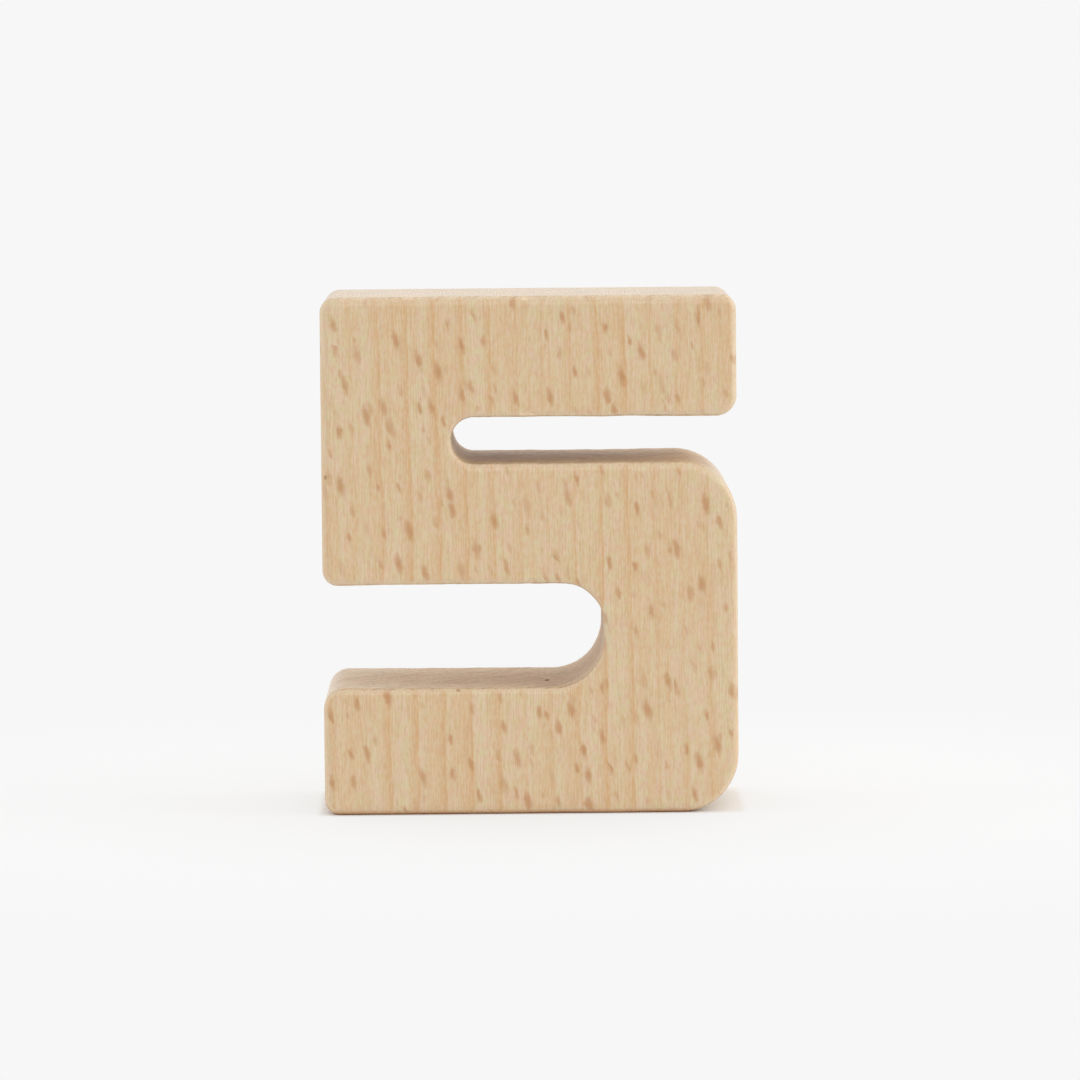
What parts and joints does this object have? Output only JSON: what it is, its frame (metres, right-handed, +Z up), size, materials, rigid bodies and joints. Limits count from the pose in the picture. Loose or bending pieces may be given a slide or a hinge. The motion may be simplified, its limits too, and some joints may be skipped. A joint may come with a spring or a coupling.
{
  "type": "number block",
  "caption": "Upright toy block in the shape of the figure five, sawn from solid beech with eased edges, for counting play and display.",
  "frame": {"origin": "on the floor, under the middle of the block", "axes": "+X to the reader's right, -Y out of the face that is read, +Z up"},
  "size_m": [0.04, 0.02, 0.05],
  "materials": {
    "beech": "sanded solid beech with a thin satin wax, grain upright"
  },
  "bodies": {
    "root": {"figure_five_block": "beech"}
  },
  "joints": []
}
